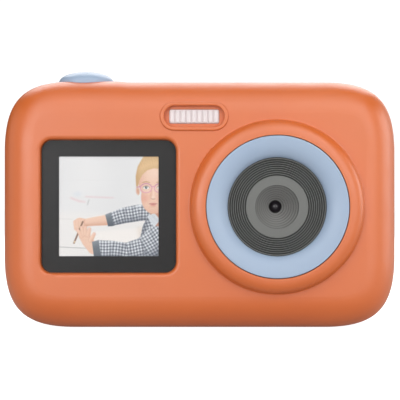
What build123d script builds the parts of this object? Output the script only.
from build123d import *
import os
from math import cos, degrees, radians, sin

# Children's compact action camera with a front and a rear screen, modelled piece by piece.
#
# X runs across the camera, to the right as seen from the front. Y runs from the front to the back.
# Z is up. The origin is on the base, on the axis of the tripod socket. All lengths are in millimetres.

# ---------------------------------------------------------------- driving dimensions
BODY_W = 100.0
BODY_H = 62.8
FRONT_Y = -13.5
REAR_Y = 13.5
SPLIT_Y = 7.2  # joint between the front tub and the rear lid
WALL = 1.8
CORNER_REACH = 18.0  # how far a corner's curve runs along each side
CORNER_EASE = 0.733  # 0.55 would be a plain quarter circle
FRONT_ROUND = 8.5
REAR_ROUND = 6.0
MID_Z = BODY_H / 2

LENS_X, LENS_Z = 19.3, 30.9
COLLAR_R = 21.6
COLLAR_Y = -16.7  # the collar's rim
RING_R = 17.65  # outside of the coloured ring
FACE_R = 12.25  # grooved face inside that ring
FACE_Y = -14.1
FUNNEL_R = 5.4
FUNNEL_STEPS = 7
FUNNEL_DEPTH = 7.0
THROAT_R = 1.64

FRONT_WINDOW = (33.7, 33.2)
FRONT_WINDOW_AT = (-22.8, 31.0)
FRONT_SCREEN = 25.0
REAR_WINDOW = (54.0, 42.0)
REAR_WINDOW_AT = (11.0, MID_Z)
REAR_SCREEN = (49.0, 36.7)

FLASH_AT = (-1.35, 53.5)
SHUTTER_AT = (-29.5, -0.8)
SHUTTER_R = 7.2
LAND_RISE = 0.25  # of the land that the shutter button stands on
LAND_RAMP = (-21.6, -17.4)  # where the land comes down to the top
SHUTTER_TRAVEL = 0.8
POWER_AT = (-8.0, -0.8)
POWER_R = 3.6
POWER_TRAVEL = 0.6

KEYPAD_AT = (-32.0, 31.5)
SMALL_KEYS_AT = {"menu_button": (-37.5, 49.0), "playback_button": (-26.5, 49.0)}
KEY_TRAVEL = 0.5

CASE_SCREWS_AT = [(x, z) for x in (-44.0, 44.0) for z in (15.0, 47.8)]
BOARD_SCREWS_AT = [(x, z) for x in (-37.5, 37.5) for z in (12.0, 51.0)]
MAIN_BOARD_Y = (3.0, 4.2)
PORT_Y, PORT_Z = 1.4, 31.5  # middle of the side door
USB_Z, CARD_Z = 38.4, 26.8
TRIPOD_R = 2.6  # minor radius of the 1/4 inch thread
LANYARD_AT = (1.4, 39.5)

GAP = 0.1  # assembly clearance round parts that drop into pockets

os.makedirs("parts", exist_ok=True)


# ---------------------------------------------------------------- helpers
def level(y):
    """The plane at depth y. Sketches on it read as seen from the front, and extrude towards the front."""
    return Plane.XZ.offset(-y)


def eased_outline(width, height, reach, land_rise=0.0):
    """Adds a rectangle round the body's middle whose corners ease into its sides.

    A land rise lifts the top left of the outline, and a soft ramp takes it back down.
    """
    near = reach * (1 - CORNER_EASE)
    top = MID_Z + height / 2
    with BuildLine() as outline:
        for side_x, side_z in ((1, 1), (-1, 1), (-1, -1), (1, -1)):
            x, z = side_x * width / 2, MID_Z + side_z * height / 2
            if (side_x, side_z) == (-1, 1):
                z += land_rise
            Bezier(
                (x, z - side_z * reach),
                (x, z - side_z * near),
                (x - side_x * near, z),
                (x - side_x * reach, z),
            )
        bottom = MID_Z - height / 2
        Line((width / 2, bottom + reach), (width / 2, top - reach))
        Line((-width / 2, bottom + reach), (-width / 2, top + land_rise - reach))
        Line((-width / 2 + reach, bottom), (width / 2 - reach, bottom))
        if land_rise:
            ramp_start, ramp_end = LAND_RAMP
            ramp_middle = (ramp_start + ramp_end) / 2
            Line((-width / 2 + reach, top + land_rise), (ramp_start, top + land_rise))
            Bezier(
                (ramp_start, top + land_rise),
                (ramp_middle, top + land_rise),
                (ramp_middle, top),
                (ramp_end, top),
            )
            Line((ramp_end, top), (width / 2 - reach, top))
        else:
            Line((-width / 2 + reach, top), (width / 2 - reach, top))
    make_face(outline.edges())


def rounded_block(inset, front_y, rear_y, land_rise=0.0):
    """The body's outer shape, or the hollow inside it when inset is the wall."""
    with BuildPart() as block:
        with BuildSketch(level(rear_y)):
            eased_outline(BODY_W - 2 * inset, BODY_H - 2 * inset, CORNER_REACH - inset, land_rise)
        extrude(amount=rear_y - front_y)
        fillet(block.faces().sort_by(Axis.Y)[0].edges(), FRONT_ROUND - inset)
        fillet(block.faces().sort_by(Axis.Y)[-1].edges(), REAR_ROUND - inset)
    return block.part


def lens_plane():
    """Radius along X and depth along Y, through the optical axis."""
    return Plane(origin=(LENS_X, 0, LENS_Z), x_dir=(1, 0, 0), z_dir=(0, 0, 1))


def upright_plane(x, y):
    """Distance from the vertical axis at (x, y), and height Z."""
    return Plane(origin=(x, y, 0), x_dir=(1, 0, 0), z_dir=(0, -1, 0))


def upright_axis(x, y):
    return Axis((x, y, 0), (0, 0, 1))


LENS_AXIS = Axis((LENS_X, 0, LENS_Z), (0, 1, 0))


def write(builder, label):
    """Names a finished piece and writes it as one STEP file."""
    builder.part.label = label
    export_step(builder.part, f"parts/{label}.step")


def disc(at, radius, rear_y, thickness, mode=Mode.ADD):
    """Cylinders along Y, one at each point, from rear_y towards the front."""
    with BuildSketch(level(rear_y)) as circles:
        with Locations(*at):
            Circle(radius)
    extrude(circles.sketch, amount=thickness, mode=mode)


def plate(at, size, corner, rear_y, thickness, mode=Mode.ADD):
    """A rounded rectangle facing the front, from rear_y towards the front."""
    with BuildSketch(level(rear_y)) as rectangle:
        with Locations(at):
            RectangleRounded(*size, corner)
    extrude(rectangle.sketch, amount=thickness, mode=mode)


def post(at, radius, low_z, high_z, mode=Mode.ADD):
    """A vertical cylinder at (x, y)."""
    with BuildSketch(Plane.XY.offset(low_z)) as circle:
        with Locations(at):
            Circle(radius)
    extrude(circle.sketch, amount=high_z - low_z, mode=mode)


def side_plate(at, size, corner, low_x, high_x, mode=Mode.ADD):
    """A rounded rectangle facing +X, between two values of x."""
    with BuildSketch(Plane.YZ.offset(low_x)) as rectangle:
        with Locations(at):
            RectangleRounded(*size, corner)
    extrude(rectangle.sketch, amount=high_x - low_x, mode=mode)


def cross_recess(seat, at, reach, depth):
    """Cuts a cross into a screw head whose top lies on the plane seat."""
    with BuildSketch(seat) as cross:
        with Locations(*at):
            Rectangle(2 * reach, 0.36 * reach)
            Rectangle(0.36 * reach, 2 * reach)
    extrude(cross.sketch, amount=-depth, mode=Mode.SUBTRACT)


def screws(seat, at, head_r, head_h, shank_r, shank_length):
    """Pan head screws. seat is the plane under the heads, and its normal points at the screwdriver."""
    with BuildPart() as group:
        with BuildSketch(seat) as heads:
            with Locations(*at):
                Circle(head_r)
        extrude(heads.sketch, amount=head_h)
        chamfer(group.faces().group_by(Axis(seat.origin, seat.z_dir))[-1].edges(), 0.2)
        with BuildSketch(seat) as shanks:
            with Locations(*at):
                Circle(shank_r)
        extrude(shanks.sketch, amount=-shank_length)
        cross_recess(seat.offset(head_h), at, 0.62 * head_r, 0.6 * head_h)
    return group


def rear_seat(y):
    """A screw seat at depth y for screws driven from the back. Its sketches are mirrored left to right."""
    return Plane(origin=(0, y, 0), x_dir=(-1, 0, 0), z_dir=(0, 1, 0))


def mirrored(points):
    return [(-x, z) for x, z in points]


# ---------------------------------------------------------------- front shell
def door_panel(grow, low_x, high_x, mode=Mode.ADD):
    """The side door's outline, grown on all sides, between two values of x."""
    with BuildSketch(Plane.YZ.offset(low_x)) as outline:
        with Locations((PORT_Y, PORT_Z)):
            Rectangle(DOOR[0] + 2 * grow, DOOR[1] + 2 * grow)
        for end, radius in zip((0, -1), DOOR_CORNERS):
            fillet(outline.vertices().group_by(Axis.Y)[end], radius + grow)
    extrude(outline.sketch, amount=high_x - low_x, mode=mode)


hollow_block = rounded_block(WALL, FRONT_Y + WALL, REAR_Y - WALL)
inner_front = FRONT_Y + WALL
inner_rear = REAR_Y - WALL
inner_top = BODY_H - WALL

COLLAR_BORE = RING_R + 0.17
RING_SEAT_Y = -13.3
FACE_HOLE = 13.0
WINDOW_SEAT_Y = -11.5
BOND_GAP = 0.02  # between a pane and the printed mask bonded behind it
MASK_T = 0.2 - BOND_GAP
LEDGE_Y = -10.6
BEAD_Y = FRONT_Y - 0.45
BEAD = (17.2, 7.3)
FLASH_POCKET = (15.0, 5.2)
FLASH_FLOOR_Y = -12.4
FLASH_LENS = (12.45, 3.4)
DOOR = (8.2, 26.2)  # along Y and Z
DOOR_CORNERS = (0.35, 1.85)  # at the hinge, where the door must turn in its pocket, and at the free end
DOOR_X = BODY_W / 2
DOOR_T = 1.25
HINGE_AT = (DOOR_X - DOOR_T / 2, PORT_Z - DOOR[1] / 2 + DOOR_T / 2)  # x and z of the door's pin
LANYARD_POCKET = (8.0, 8.0)
LANYARD_FLOOR_X = -45.6
TONGUE = 0.9
CASE_POST_R = 2.9
LANYARD_BAR_X = -48.7
BOARD_POST_R = 2.2
INSERT_R = 4.6
INSERT_TOP = 7.0

plain_block = rounded_block(0, FRONT_Y, REAR_Y, LAND_RISE)

def half_of_body(keep):
    """The body on one side of the seam, with the seam's edge bevelled."""
    with BuildPart() as half:
        add(plain_block)
        split(bisect_by=level(SPLIT_Y), keep=keep)
        seam = half.faces().filter_by(Axis.Y).filter_by_position(Axis.Y, SPLIT_Y - 0.01, SPLIT_Y + 0.01)
        chamfer(seam.edges(), 0.25)
    return half.part


front_block = half_of_body(Keep.TOP)
rear_block = half_of_body(Keep.BOTTOM)

with BuildPart() as inner_posts:
    disc(CASE_SCREWS_AT, CASE_POST_R, SPLIT_Y, SPLIT_Y - FRONT_Y)
    disc(BOARD_SCREWS_AT, BOARD_POST_R, MAIN_BOARD_Y[0], MAIN_BOARD_Y[0] - FRONT_Y)
    post((0, 0), 6.0, 0, INSERT_TOP + 1.0)
    side_plate(LANYARD_AT, (10.4, 10.4), 1.0, -BODY_W / 2, LANYARD_FLOOR_X + 1.2)
    for x in (-41.5, -17.0):
        post((x, 0), 1.9, 56.2, BODY_H)
    post((12.0, 0), 4.0, 58.5, inner_top + 0.5)
    post(SHUTTER_AT, 9.2, 60.05, BODY_H)
    post(POWER_AT, 5.4, 60.75, BODY_H)
    side_plate((PORT_Y, PORT_Z), (10.0, 28.0), 2.5, 47.2, BODY_W / 2)
    add(front_block, mode=Mode.INTERSECT)

with BuildPart() as front_shell:
    add(front_block)
    # Raised collar round the lens: a soft shoulder that falls to the front face.
    with BuildSketch(lens_plane()):
        with BuildLine():
            Polyline(
                (COLLAR_R, -14.05),
                (COLLAR_R, FRONT_Y + 1),
                (COLLAR_BORE - 1, FRONT_Y + 1),
                (COLLAR_BORE - 1, COLLAR_Y),
                (COLLAR_BORE + 0.6, COLLAR_Y),
            )
            Bezier(
                (COLLAR_BORE + 0.6, COLLAR_Y),
                (COLLAR_BORE + 2.4, COLLAR_Y),
                (COLLAR_R, COLLAR_Y + 1.1),
                (COLLAR_R, -14.05),
            )
        make_face()
    revolve(axis=LENS_AXIS)
    circles = front_shell.edges().filter_by(GeomType.CIRCLE)
    collar_foot = circles.filter_by_position(Axis.Y, FRONT_Y - 0.01, FRONT_Y + 0.01)
    fillet(collar_foot.filter_by(lambda e: abs(e.radius - COLLAR_R) < 0.01), 0.5)
    # Raised bead round the flash window.
    with BuildSketch(level(FRONT_Y + 1)):
        with Locations(FLASH_AT):
            SlotOverall(*BEAD)
    extrude(amount=FRONT_Y + 1 - BEAD_Y)
    with BuildSketch(level(FLASH_FLOOR_Y)):
        with Locations(FLASH_AT):
            SlotOverall(*FLASH_POCKET)
    extrude(amount=3, mode=Mode.SUBTRACT)
    fillet(front_shell.edges().filter_by_position(Axis.Y, BEAD_Y - 0.01, BEAD_Y + 0.01), 0.38)
    # Screen pocket with a rounded lip.
    plate(FRONT_WINDOW_AT, [s + 2 * GAP for s in FRONT_WINDOW], 2.85, -12.0, 3, Mode.SUBTRACT)
    window_rim = front_shell.edges().filter_by_position(Axis.Y, FRONT_Y - 0.01, FRONT_Y + 0.01)
    fillet(
        window_rim.filter_by(
            lambda e: abs(e.center().X - FRONT_WINDOW_AT[0]) < 17.4
            and abs(e.center().Z - FRONT_WINDOW_AT[1]) < 17.2
        ),
        1.0,
    )
    add(hollow_block, mode=Mode.SUBTRACT)
    plate(FRONT_WINDOW_AT, (36.3, 35.8), 3.5, LEDGE_Y, LEDGE_Y - inner_front)
    add(inner_posts.part)
    # Openings: screen, lens, flash, buttons, microphone.
    plate(FRONT_WINDOW_AT, [s + 2 * GAP for s in FRONT_WINDOW], 2.85, WINDOW_SEAT_Y, 1.5, Mode.SUBTRACT)
    plate(FRONT_WINDOW_AT, (27.0, 27.0), 0.6, LEDGE_Y + 0.5, 3, Mode.SUBTRACT)
    disc([(LENS_X, LENS_Z)], FACE_HOLE, inner_front + 0.5, 3, Mode.SUBTRACT)
    disc([(LENS_X, LENS_Z)], COLLAR_BORE, RING_SEAT_Y, 5, Mode.SUBTRACT)
    plate(FLASH_AT, [s + 0.15 for s in FLASH_LENS], 0.6, inner_front + 0.5, 3, Mode.SUBTRACT)
    post(SHUTTER_AT, SHUTTER_R + 0.15, 59.0, 65.0, Mode.SUBTRACT)
    post(POWER_AT, POWER_R + 0.15, 59.0, 65.0, Mode.SUBTRACT)
    post((12.0, 0), 3.05, 58.0, inner_top, Mode.SUBTRACT)
    post((12.0, 0), 0.5, 60.0, 64.0, Mode.SUBTRACT)
    # Side door: pocket, finger notch, and the opening behind it.
    door_panel(0.15, DOOR_X - DOOR_T - GAP, DOOR_X + 1, Mode.SUBTRACT)
    side_plate((PORT_Y, PORT_Z + 0.4), (5.8, 23.6), 1.2, 46.0, DOOR_X + 1, Mode.SUBTRACT)
    with Locations((DOOR_X + 2.2, PORT_Y, PORT_Z + DOOR[1] / 2)):
        Sphere(3.2, mode=Mode.SUBTRACT)
    # Lanyard recess and the holes for its bar.
    side_plate(LANYARD_AT, LANYARD_POCKET, 1.2, -BODY_W / 2 - 1, LANYARD_FLOOR_X, Mode.SUBTRACT)
    with BuildSketch(Plane.XY.offset(LANYARD_AT[1] - 4.8)):
        with Locations((LANYARD_BAR_X, LANYARD_AT[0])):
            Circle(0.8)
    extrude(amount=9.6, mode=Mode.SUBTRACT)
    # Tripod insert, case and board screw holes, carrier screw holes in the collar.
    post((0, 0), INSERT_R, -1, INSERT_TOP, Mode.SUBTRACT)
    with BuildSketch(level(PORT_Y + 4.9)):
        with Locations(HINGE_AT):
            Circle(0.4)
    extrude(amount=9.8, mode=Mode.SUBTRACT)
    disc(CASE_SCREWS_AT, 0.85, SPLIT_Y + 1, 9, Mode.SUBTRACT)
    disc(BOARD_SCREWS_AT, 0.6, MAIN_BOARD_Y[0] + 1, 7, Mode.SUBTRACT)
    for x in (-41.5, -17.0):
        post((x, 0), 0.6, 55.0, 59.2, Mode.SUBTRACT)
    carrier_holes = [
        (LENS_X + 19.4 * cos(radians(a)), LENS_Z + 19.4 * sin(radians(a))) for a in (90, 210, 330)
    ]
    disc(carrier_holes, 0.7, inner_front + 1, 4.2, Mode.SUBTRACT)
    # Tongue that enters the rear shell.
    with BuildSketch(level(SPLIT_Y + 1.0)):
        eased_outline(BODY_W - 2 * TONGUE, BODY_H - 2 * TONGUE, CORNER_REACH - TONGUE)
        with BuildSketch(level(SPLIT_Y + 1.0), mode=Mode.PRIVATE) as tongue_inside:
            eased_outline(BODY_W - 2 * WALL, BODY_H - 2 * WALL, CORNER_REACH - WALL)
        add(tongue_inside.sketch_local, mode=Mode.SUBTRACT)
    extrude(amount=1.2)
write(front_shell, "front_shell")

# ---------------------------------------------------------------- rear shell
REAR_SEAT_Y = 11.9
REAR_LEDGE_Y = 11.0
SMALL_KEYS = list(SMALL_KEYS_AT.values())
OK_R = 4.2
ARROW_R = (5.2, 11.0)
ARROW_SPAN = 80
SMALL_KEY_R = 3.2
KEY_SCREWS_AT = [(-32.0, 49.0), (-32.0, 16.9)]
KEY_BOARD_Y = (7.2, 8.0)
SPEAKER_AT = (-31.0, 11.2)
LIGHT_AT = (-20.2, 53.8)
HEAD_SEAT_Y = 10.0  # case screw heads


def on_pad(radius, angle):
    """A point on the keypad, from its middle. The angle is in degrees from +X towards +Z."""
    return (KEYPAD_AT[0] + radius * cos(radians(angle)), KEYPAD_AT[1] + radius * sin(radians(angle)))


def arrow_key(angle, grow, rear_y, thickness, mode=Mode.ADD):
    """One quarter of the direction pad, its sides moved out by grow."""
    arcs = []
    for r in (ARROW_R[0] - grow, ARROW_R[1] + grow):
        half = ARROW_SPAN / 2 + degrees(grow / r)
        arcs.append([on_pad(r, angle + side * half) for side in (-1, 0, 1)])
    with BuildSketch(level(rear_y)) as quarter:
        with BuildLine() as edge:
            ThreePointArc(*arcs[0])
            ThreePointArc(*arcs[1])
            Line(arcs[0][0], arcs[1][0])
            Line(arcs[0][2], arcs[1][2])
        make_face(edge.edges())
    extrude(quarter.sketch, amount=thickness, mode=mode)


with BuildPart() as rear_posts:
    disc(CASE_SCREWS_AT, CASE_POST_R, 13.0, 13.0 - SPLIT_Y)
    disc(KEY_SCREWS_AT, 1.6, 13.0, 13.0 - KEY_BOARD_Y[1])
    plate(REAR_WINDOW_AT, (57.0, 45.0), 4.0, 12.6, 12.6 - REAR_LEDGE_Y)
    plate(SPEAKER_AT, (16.0, 9.4), 3.0, 12.6, 1.9)
    add(rear_block, mode=Mode.INTERSECT)

with BuildPart() as rear_shell:
    add(rear_block)
    plate(REAR_WINDOW_AT, [s + 2 * GAP for s in REAR_WINDOW], 3.1, 15.0, 15.0 - 12.6, Mode.SUBTRACT)
    rear_rim = rear_shell.edges().filter_by_position(Axis.Y, REAR_Y - 0.01, REAR_Y + 0.01)
    fillet(rear_rim.filter_by(lambda e: -17 < e.center().X < 39 and 10 < e.center().Z < 53), 0.6)
    add(hollow_block, mode=Mode.SUBTRACT)
    with BuildSketch(level(SPLIT_Y + 1.1)) as groove:
        eased_outline(BODY_W - 2 * TONGUE + GAP, BODY_H - 2 * TONGUE + GAP, CORNER_REACH - TONGUE)
    extrude(groove.sketch, amount=2.0, mode=Mode.SUBTRACT)
    add(rear_posts.part)
    # Screen opening.
    plate(REAR_WINDOW_AT, [s + 2 * GAP for s in REAR_WINDOW], 3.1, 13.0, 13.0 - REAR_SEAT_Y, Mode.SUBTRACT)
    plate(REAR_WINDOW_AT, (50.2, 38.0), 0.6, 12.5, 3.0, Mode.SUBTRACT)
    # Keys, speaker grille and status light.
    disc([KEYPAD_AT], OK_R + 0.15, 15.0, 5.0, Mode.SUBTRACT)
    disc(SMALL_KEYS, SMALL_KEY_R + 0.15, 15.0, 5.0, Mode.SUBTRACT)
    for quarter_turn in range(4):
        arrow_key(90 * quarter_turn, 0.15, 15.0, 5.0, Mode.SUBTRACT)
    plate(SPEAKER_AT, (14.2, 7.6), 2.1, 11.7, 3.0, Mode.SUBTRACT)
    with BuildSketch(level(15.0)) as grille:
        with Locations(SPEAKER_AT):
            with GridLocations(1.9, 2.0, 7, 2):
                Circle(0.55)
    extrude(grille.sketch, amount=5.0, mode=Mode.SUBTRACT)
    disc([LIGHT_AT], 0.95, 15.0, 5.0, Mode.SUBTRACT)
    # Screws.
    disc(CASE_SCREWS_AT, 2.05, 15.0, 15.0 - HEAD_SEAT_Y, Mode.SUBTRACT)
    disc(CASE_SCREWS_AT, 1.1, 15.0, 9.0, Mode.SUBTRACT)
    disc(KEY_SCREWS_AT, 0.6, 11.5, 4.5, Mode.SUBTRACT)
write(rear_shell, "rear_shell")

# ---------------------------------------------------------------- lens
with BuildPart() as lens_ring:
    with BuildSketch(lens_plane()):
        with BuildLine():
            Polyline(
                (FACE_R + 0.1, -14.3),
                (FACE_R + 0.1, RING_SEAT_Y - 0.05),
                (RING_R, RING_SEAT_Y - 0.05),
                (RING_R, -16.35),
            )
            Bezier((RING_R, -16.35), (RING_R, -16.6), (RING_R - 0.1, -16.62), (RING_R - 0.4, -16.6))
            Bezier((RING_R - 0.4, -16.6), (15.3, -16.5), (13.1, -15.9), (FACE_R + 0.1, -14.3))
        make_face()
    revolve(axis=LENS_AXIS)
write(lens_ring, "lens_ring")

GROOVES = 8
GROOVE_R = 7.95  # innermost groove
GROOVE_PITCH = 0.54
GROOVE_HALF = 0.2
GROOVE_DEPTH = 0.42
FLOOR_Y = FACE_Y + FUNNEL_DEPTH
FACE_BACK_Y = FLOOR_Y + 0.5
with BuildPart() as lens_face:
    with BuildSketch(lens_plane()):
        profile = []
        for step in range(FUNNEL_STEPS + 1):
            r = FUNNEL_R - step * (FUNNEL_R - THROAT_R) / FUNNEL_STEPS
            if step:
                profile.append((r, FACE_Y + step * FUNNEL_DEPTH / FUNNEL_STEPS))
            if step < FUNNEL_STEPS:
                profile.append((r, FACE_Y + (step + 1) * FUNNEL_DEPTH / FUNNEL_STEPS))
        profile = [(THROAT_R, FACE_BACK_Y)] + profile[::-1] + [(FUNNEL_R, FACE_Y)]
        for groove in range(GROOVES):
            r = GROOVE_R + groove * GROOVE_PITCH
            profile += [(r - GROOVE_HALF, FACE_Y), (r, FACE_Y + GROOVE_DEPTH), (r + GROOVE_HALF, FACE_Y)]
        profile += [
            (FACE_R - 0.12, FACE_Y),
            (FACE_R, FACE_Y + 0.12),
            (FACE_R, -13.3),
            (12.8, -13.3),
            (12.8, -12.1),
            (7.2, -12.1),
            (7.2, FACE_BACK_Y),
        ]
        Polygon(*profile, align=None)
    revolve(axis=LENS_AXIS)
write(lens_face, "lens_face")

LENS_AT = (LENS_X, LENS_Z)
BARREL_Y = (FACE_BACK_Y + 0.05, -0.7)
with BuildPart() as lens_carrier:
    disc([LENS_AT], 21.0, -10.0, -10.0 - inner_front)
    disc([LENS_AT], 12.7, -10.0, 2.1)
    disc([LENS_AT], 11.0, -10.5, 4, Mode.SUBTRACT)
    disc([LENS_AT], 9.0, 0, 12.0)
    plate(LENS_AT, (18.0, 18.0), 1.0, 1.8, 2.8)
    disc([LENS_AT], 7.3, FACE_BACK_Y + 0.1, 8, Mode.SUBTRACT)
    disc([LENS_AT], 6.05, -0.6, 8, Mode.SUBTRACT)
    disc([LENS_AT], 3.9, 0.5, 2, Mode.SUBTRACT)
    plate(LENS_AT, (11.0, 11.0), 0.5, 2.0, 2.0, Mode.SUBTRACT)
    disc(carrier_holes, 0.8, -9.5, 3, Mode.SUBTRACT)
    SENSOR_SCREWS_AT = [(LENS_X + side * 7.2, LENS_Z + side * 7.2) for side in (-1, 1)]
    disc(SENSOR_SCREWS_AT, 0.5, 2.0, 2.6, Mode.SUBTRACT)
write(lens_carrier, "lens_carrier")

carrier_screws = screws(rear_seat(-10.0), mirrored(carrier_holes), 1.3, 0.9, 0.65, 4.4)
write(carrier_screws, "carrier_screws")

with BuildPart() as lens_barrel:
    disc([LENS_AT], 6.0, BARREL_Y[1], BARREL_Y[1] - BARREL_Y[0])
    disc([LENS_AT], 4.6, BARREL_Y[1] + 1, BARREL_Y[1] + 1 - BARREL_Y[0] - 0.6, Mode.SUBTRACT)
    disc([LENS_AT], 1.62, 0, 8, Mode.SUBTRACT)
write(lens_barrel, "lens_barrel")

with BuildPart() as lens_front_element:
    disc([LENS_AT], 4.5, -4.8, -4.8 - BARREL_Y[0] - 0.6)
    with Locations((LENS_X, -6.64, LENS_Z)):
        Sphere(1.56)
write(lens_front_element, "lens_front_element")

with BuildPart() as lens_rear_element:
    disc([LENS_AT], 4.5, -1.2, 1.2)
    disc([LENS_AT], 4.5, -2.4, 2.4)
    disc([LENS_AT], 3.5, -2.4, 3.0, Mode.SUBTRACT)
write(lens_rear_element, "lens_rear_element")

with BuildPart() as ir_filter:
    plate(LENS_AT, (10.4, 10.4), 0.2, 0.35, 0.35)
write(ir_filter, "ir_filter")

with BuildPart() as image_sensor:
    plate(LENS_AT, (7.0, 7.0), 0.1, 1.8, 1.0)
write(image_sensor, "image_sensor")

with BuildPart() as sensor_board:
    plate(LENS_AT, (18.0, 18.0), 1.0, 2.8, 1.0)
    disc(SENSOR_SCREWS_AT, 0.7, 3.0, 2.0, Mode.SUBTRACT)
write(sensor_board, "sensor_board")

sensor_screws = screws(rear_seat(2.8), mirrored(SENSOR_SCREWS_AT), 1.2, 0.8, 0.45, 3.2)
write(sensor_screws, "sensor_screws")

# ---------------------------------------------------------------- front screen
with BuildPart() as front_window:
    plate(FRONT_WINDOW_AT, FRONT_WINDOW, 2.75, -11.7, 1.0)
    chamfer(front_window.faces().sort_by(Axis.Y)[0].edges(), 0.15)
write(front_window, "front_window")

with BuildPart() as front_window_mask:
    plate(FRONT_WINDOW_AT, FRONT_WINDOW, 2.75, WINDOW_SEAT_Y, MASK_T)
    plate(FRONT_WINDOW_AT, (FRONT_SCREEN, FRONT_SCREEN), 0.1, -11.0, 1.0, Mode.SUBTRACT)
write(front_window_mask, "front_window_mask")

with BuildPart() as front_lcd_panel:
    plate(FRONT_WINDOW_AT, (26.8, 26.8), 0.6, -10.3, 1.15)
write(front_lcd_panel, "front_lcd_panel")

with BuildPart() as front_lcd_gasket:
    plate(FRONT_WINDOW_AT, (31.4, 32.0), 1.0, -10.3, -10.3 - LEDGE_Y)
    plate(FRONT_WINDOW_AT, (27.4, 27.4), 0.3, -10.0, 1.0, Mode.SUBTRACT)
write(front_lcd_gasket, "front_lcd_gasket")

with BuildPart() as front_lcd_frame:
    plate(FRONT_WINDOW_AT, (33.0, 33.0), 1.5, -8.3, 2.0)
    plate(FRONT_WINDOW_AT, (29.0, 29.0), 0.5, -7.0, 2.5, Mode.SUBTRACT)
write(front_lcd_frame, "front_lcd_frame")

# ---------------------------------------------------------------- rear screen
with BuildPart() as rear_window:
    plate(REAR_WINDOW_AT, REAR_WINDOW, 3.0, 13.1, 1.0)
    chamfer(rear_window.faces().sort_by(Axis.Y)[-1].edges(), 0.15)
write(rear_window, "rear_window")

with BuildPart() as rear_window_mask:
    plate(REAR_WINDOW_AT, REAR_WINDOW, 3.0, 12.1 - BOND_GAP, MASK_T)
    plate(REAR_WINDOW_AT, REAR_SCREEN, 0.1, 13.0, 2.0, Mode.SUBTRACT)
write(rear_window_mask, "rear_window_mask")

with BuildPart() as rear_lcd_panel:
    plate(REAR_WINDOW_AT, (50.0, 37.8), 0.6, 11.85, 1.25)
write(rear_lcd_panel, "rear_lcd_panel")

with BuildPart() as rear_lcd_gasket:
    plate(REAR_WINDOW_AT, (56.0, 42.0), 1.0, REAR_LEDGE_Y, 0.4)
    plate(REAR_WINDOW_AT, (50.6, 38.4), 0.3, 12.0, 2.0, Mode.SUBTRACT)
write(rear_lcd_gasket, "rear_lcd_gasket")

with BuildPart() as rear_lcd_frame:
    plate(REAR_WINDOW_AT, (59.0, 42.6), 1.5, 10.6, 2.0)
    plate(REAR_WINDOW_AT, (46.0, 34.0), 0.5, 9.4, 2.0, Mode.SUBTRACT)
write(rear_lcd_frame, "rear_lcd_frame")

# ---------------------------------------------------------------- flash
with BuildPart() as flash_lens:
    plate(FLASH_AT, FLASH_LENS, 0.5, -11.4, 1.1)
    with BuildSketch(Plane.XY.offset(FLASH_AT[1])) as ribs:
        with Locations((FLASH_AT[0], -12.5)):
            with GridLocations(FLASH_LENS[0] / 9, 1, 9, 1):
                Ellipse(0.64, 0.42)
    extrude(ribs.sketch, amount=1.45, both=True)
write(flash_lens, "flash_lens")

with BuildPart() as flash_reflector:
    plate(FLASH_AT, (14.0, 5.0), 1.0, -9.0, 2.4)
    with BuildSketch(level(-11.4)) as mouth:
        with Locations(FLASH_AT):
            RectangleRounded(12.2, 3.2, 0.5)
    with BuildSketch(level(-9.0)) as bowl:
        with Locations(FLASH_AT):
            RectangleRounded(9.6, 1.9, 0.5)
    loft([mouth.sketch.face(), bowl.sketch.face()], mode=Mode.SUBTRACT)
write(flash_reflector, "flash_reflector")

with BuildPart() as flash_board:
    plate(FLASH_AT, (16.0, 6.0), 1.0, -8.0, 1.0)
write(flash_board, "flash_board")

with BuildPart() as flash_leds:
    for side in (-1, 1):
        plate((FLASH_AT[0] + side * 2.4, FLASH_AT[1]), (1.8, 1.4), 0.1, -9.0, 0.6)
write(flash_leds, "flash_leds")

# ---------------------------------------------------------------- top buttons
TOP_BOARD_Z = (55.2, 56.2)
SWITCH_TOP = 58.0
SPRING_R = 5.0
SPRING_WIRE = 0.2


def top_button(at, radius, seat_z, shoulder_z, top_z, crown, flange, stem, foot_z):
    """A domed button: shoulder and crown above, retaining flange and stem below."""
    with BuildPart() as button:
        with BuildSketch(upright_plane(*at)):
            with BuildLine():
                Polyline(
                    (0, top_z),
                    (0, foot_z),
                    (stem, foot_z),
                    (stem, seat_z - 0.8),
                    (flange, seat_z - 0.8),
                    (flange, seat_z),
                    (radius, seat_z),
                    (radius, shoulder_z),
                )
                side_z = top_z - 0.43 * (top_z - shoulder_z)
                Bezier((radius, shoulder_z), (radius, side_z), (crown, top_z), (0, top_z))
            make_face()
        revolve(axis=upright_axis(*at))
    return button


shutter_button = top_button(SHUTTER_AT, SHUTTER_R, 60.0, 62.9, 65.87, 4.6, 7.65, 2.2, 58.9)
write(shutter_button, "shutter_button")
power_button = top_button(POWER_AT, POWER_R, 60.7, 62.3, 62.6, 3.2, 4.4, 1.6, 58.7)
write(power_button, "power_button")

with BuildPart() as shutter_spring:
    with BuildLine() as coil:
        Helix(
            pitch=0.95,
            height=2.6,
            radius=SPRING_R,
            center=(*SHUTTER_AT, TOP_BOARD_Z[1] + SPRING_WIRE),
        )
    with BuildSketch(Plane(origin=coil.line @ 0, z_dir=coil.line % 0)) as wire:
        Circle(SPRING_WIRE)
    sweep(wire.sketch, path=coil.line, is_frenet=True)
write(shutter_spring, "shutter_spring")

with BuildPart() as shutter_plunger:
    post(SHUTTER_AT, 1.0, 57.65, 58.9)
write(shutter_plunger, "shutter_plunger")

with BuildPart() as power_plunger:
    post(POWER_AT, 1.0, 57.45, 58.7)
write(power_plunger, "power_plunger")

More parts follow.
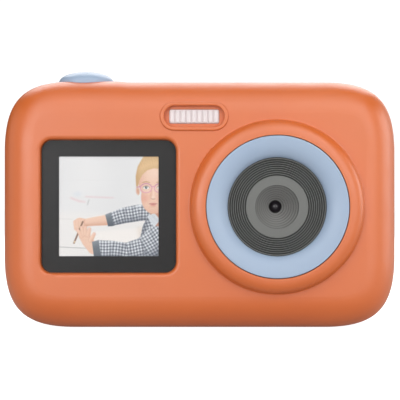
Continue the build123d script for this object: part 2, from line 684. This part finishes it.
with BuildPart() as top_switches:
    with BuildSketch(Plane.XY.offset(TOP_BOARD_Z[1])) as switch_bodies:
        with Locations(SHUTTER_AT, POWER_AT):
            RectangleRounded(6.0, 6.0, 0.4)
    extrude(switch_bodies.sketch, amount=SWITCH_TOP - TOP_BOARD_Z[1])
    for at in (SHUTTER_AT, POWER_AT):
        post(at, 1.1, 56.8, 59, Mode.SUBTRACT)
write(top_switches, "top_switches")

TOP_SCREWS_AT = [(-41.5, 0), (-17.0, 0)]
with BuildPart() as top_key_board:
    with BuildSketch(Plane.XY.offset(TOP_BOARD_Z[0])) as top_outline:
        with Locations((-23.3, 0)):
            RectangleRounded(40.4, 13.0, 1.5)
        with Locations(*TOP_SCREWS_AT):
            Circle(0.75, mode=Mode.SUBTRACT)
    extrude(top_outline.sketch, amount=1.0)
write(top_key_board, "top_key_board")

top_board_screws = screws(
    Plane(origin=(0, 0, TOP_BOARD_Z[0]), x_dir=(1, 0, 0), z_dir=(0, 0, -1)),
    TOP_SCREWS_AT,
    1.4,
    0.9,
    0.55,
    3.6,
)
write(top_board_screws, "top_board_screws")

# ---------------------------------------------------------------- rear keys
KEY_TOP_Y = 14.2
KEY_FLANGE_Y = (10.9, 11.6)
KEY_FOOT_Y = 9.95
ARROWS = {"right_button": 0, "up_button": 90, "left_button": 180, "down_button": 270}
ARROW_MID = sum(ARROW_R) / 2


def round_key(at, radius):
    with BuildPart() as key:
        disc([at], radius, KEY_TOP_Y, KEY_TOP_Y - KEY_FLANGE_Y[1])
        fillet(key.faces().sort_by(Axis.Y)[-1].edges(), 0.45)
        disc([at], radius + 0.4, KEY_FLANGE_Y[1], KEY_FLANGE_Y[1] - KEY_FLANGE_Y[0])
        disc([at], 1.2, KEY_FLANGE_Y[0], KEY_FLANGE_Y[0] - KEY_FOOT_Y)
    return key


ok_button = round_key(KEYPAD_AT, OK_R)
write(ok_button, "ok_button")
for key_name, key_at in SMALL_KEYS_AT.items():
    small_key = round_key(key_at, SMALL_KEY_R)
    write(small_key, key_name)

for key_name, key_angle in ARROWS.items():
    with BuildPart() as direction_key:
        arrow_key(key_angle, 0, KEY_TOP_Y, KEY_TOP_Y - KEY_FLANGE_Y[1])
        fillet(direction_key.edges().filter_by(Axis.Y), 0.6)
        fillet(direction_key.faces().sort_by(Axis.Y)[-1].edges(), 0.45)
        arrow_key(key_angle, 0.3, KEY_FLANGE_Y[1], KEY_FLANGE_Y[1] - KEY_FLANGE_Y[0])
        disc([on_pad(ARROW_MID, key_angle)], 1.2, KEY_FLANGE_Y[0], KEY_FLANGE_Y[0] - KEY_FOOT_Y)
        # Raised triangle that shows the way.
        with BuildSketch(level(KEY_TOP_Y + 0.12)) as pointer:
            tip, side = on_pad(ARROW_MID + 1.1, key_angle), degrees(1.4 / ARROW_MID)
            Polygon(on_pad(7.4, key_angle - side), tip, on_pad(7.4, key_angle + side), align=None)
        extrude(pointer.sketch, amount=0.4)
    write(direction_key, key_name)

SWITCHES_AT = [KEYPAD_AT] + [on_pad(ARROW_MID, a) for a in ARROWS.values()] + SMALL_KEYS
with BuildPart() as key_board:
    with BuildSketch(level(KEY_BOARD_Y[1])) as key_board_outline:
        with Locations((-32.0, 31.3)):
            Rectangle(23.0, 26.2)
        with Locations((-31.4, 47.0)):
            Rectangle(18.4, 12.0)
        with Locations((-32.0, 17.6)):
            Rectangle(8.0, 5.0)
        with Locations(*KEY_SCREWS_AT):
            Circle(0.75, mode=Mode.SUBTRACT)
    extrude(key_board_outline.sketch, amount=KEY_BOARD_Y[1] - KEY_BOARD_Y[0])
write(key_board, "key_board")

with BuildPart() as key_switches:
    for switch_at in SWITCHES_AT:
        plate(switch_at, (4.0, 4.0), 0.3, 9.2, 9.2 - KEY_BOARD_Y[1])
        disc([switch_at], 1.0, 9.4, 0.4)
write(key_switches, "key_switches")

key_board_screws = screws(level(KEY_BOARD_Y[0]), KEY_SCREWS_AT, 1.4, 0.8, 0.55, 4.0)
write(key_board_screws, "key_board_screws")

# ---------------------------------------------------------------- electronics
with BuildPart() as main_board:
    with BuildSketch(level(MAIN_BOARD_Y[1])) as board_outline:
        with Locations((0, 31.5)):
            RectangleRounded(82.0, 46.0, 2.0)
        with Locations((42.0, 31.5)):
            RectangleRounded(9.0, 24.0, 1.0)
        with Locations(LENS_AT):
            RectangleRounded(20.0, 20.0, 1.0, mode=Mode.SUBTRACT)
        with Locations(*BOARD_SCREWS_AT):
            Circle(0.75, mode=Mode.SUBTRACT)
    extrude(board_outline.sketch, amount=MAIN_BOARD_Y[1] - MAIN_BOARD_Y[0])
write(main_board, "main_board")

with BuildPart() as processor_shield:
    plate((-4.0, 31.5), (20.0, 26.0), 1.0, 6.0, 1.8)
    fillet(processor_shield.faces().sort_by(Axis.Y)[-1].edges(), 0.4)
    plate((-4.0, 31.5), (19.2, 25.2), 0.8, 5.7, 3.0, Mode.SUBTRACT)
write(processor_shield, "processor_shield")

with BuildPart() as battery:
    plate((-20.5, 31.0), (29.0, 38.0), 1.5, -2.5, 5.8)
    fillet(battery.edges().group_by(Axis.Y)[0] + battery.edges().group_by(Axis.Y)[-1], 1.0)
write(battery, "battery")

with BuildPart() as usb_c_port:
    side_plate((1.37, USB_Z), (3.26, 8.94), 1.6, 41.3, 47.6)
    side_plate((1.37, USB_Z), (2.56, 8.24), 1.25, 42.3, 48.0, Mode.SUBTRACT)
    side_plate((1.37, USB_Z), (0.7, 6.7), 0.2, 42.0, 46.9)
write(usb_c_port, "usb_c_port")

with BuildPart() as card_slot:
    side_plate((2.0, CARD_Z), (2.0, 12.8), 0.3, 33.0, 47.6)
    side_plate((2.0, CARD_Z), (1.0, 11.3), 0.1, 35.0, 48.0, Mode.SUBTRACT)
write(card_slot, "card_slot")

with BuildPart() as speaker:
    plate(SPEAKER_AT, (14.0, 7.4), 2.0, 11.7, 3.0)
    plate(SPEAKER_AT, (11.0, 5.0), 1.5, 12.0, 1.0, Mode.SUBTRACT)
write(speaker, "speaker")

with BuildPart() as microphone:
    post((12.0, 0), 3.0, 58.0, inner_top)
    post((12.0, 0), 0.6, 60.2, 62.0, Mode.SUBTRACT)
write(microphone, "microphone")

with BuildPart() as status_light:
    disc([LIGHT_AT], 0.9, 13.45, 13.45 - 4.25)
    disc([LIGHT_AT], 1.4, inner_rear, 0.8)
write(status_light, "status_light")

# ---------------------------------------------------------------- hardware
with BuildPart() as tripod_insert:
    with BuildSketch(upright_plane(0, 0)):
        Polygon(
            (TRIPOD_R, 0.5),
            (TRIPOD_R + 0.5, 0.0),
            (INSERT_R, 0.0),
            (INSERT_R, 2.6),
            (INSERT_R - 0.6, 2.9),
            (INSERT_R - 0.6, 4.1),
            (INSERT_R, 4.4),
            (INSERT_R, INSERT_TOP),
            (0, INSERT_TOP),
            (0, INSERT_TOP - 0.8),
            (TRIPOD_R, INSERT_TOP - 0.8),
            align=None,
        )
    revolve(axis=Axis.Z)
write(tripod_insert, "tripod_insert")

with BuildPart() as lanyard_bar:
    post((LANYARD_BAR_X, LANYARD_AT[0]), 0.75, LANYARD_AT[1] - 4.75, LANYARD_AT[1] + 4.75)
write(lanyard_bar, "lanyard_bar")

case_screws = screws(rear_seat(HEAD_SEAT_Y), mirrored(CASE_SCREWS_AT), 1.85, 1.5, 0.8, 10.5)
write(case_screws, "case_screws")

board_screws = screws(rear_seat(MAIN_BOARD_Y[1]), mirrored(BOARD_SCREWS_AT), 1.4, 0.9, 0.55, 6.0)
write(board_screws, "board_screws")

# ---------------------------------------------------------------- side door
with BuildPart() as port_door:
    door_panel(0, DOOR_X - DOOR_T, DOOR_X)
    # The lower end is round, so that it can turn in its pocket.
    with BuildSketch(level(PORT_Y + 5)) as lower_end:
        with Locations((DOOR_X - DOOR_T / 2, HINGE_AT[1] - DOOR_T / 2)):
            Rectangle(2 * DOOR_T, DOOR_T)
        with Locations(HINGE_AT):
            Circle(DOOR_T / 2, mode=Mode.SUBTRACT)
    extrude(lower_end.sketch, amount=10, mode=Mode.SUBTRACT)
    with BuildSketch(level(PORT_Y + 5)) as pin_hole:
        with Locations(HINGE_AT):
            Circle(0.4)
    extrude(pin_hole.sketch, amount=10, mode=Mode.SUBTRACT)
write(port_door, "port_door")

with BuildPart() as port_door_seal:
    side_plate((PORT_Y, PORT_Z + 0.4), (5.2, 23.0), 1.0, 47.9, DOOR_X - DOOR_T)
    side_plate((PORT_Y, PORT_Z + 0.4), (3.6, 21.4), 0.4, 47.0, DOOR_X - DOOR_T - 0.3, Mode.SUBTRACT)
write(port_door_seal, "port_door_seal")

with BuildPart() as port_door_pin:
    with BuildSketch(level(PORT_Y + 4.8)):
        with Locations(HINGE_AT):
            Circle(0.36)
    extrude(amount=9.6)
write(port_door_pin, "port_door_pin")
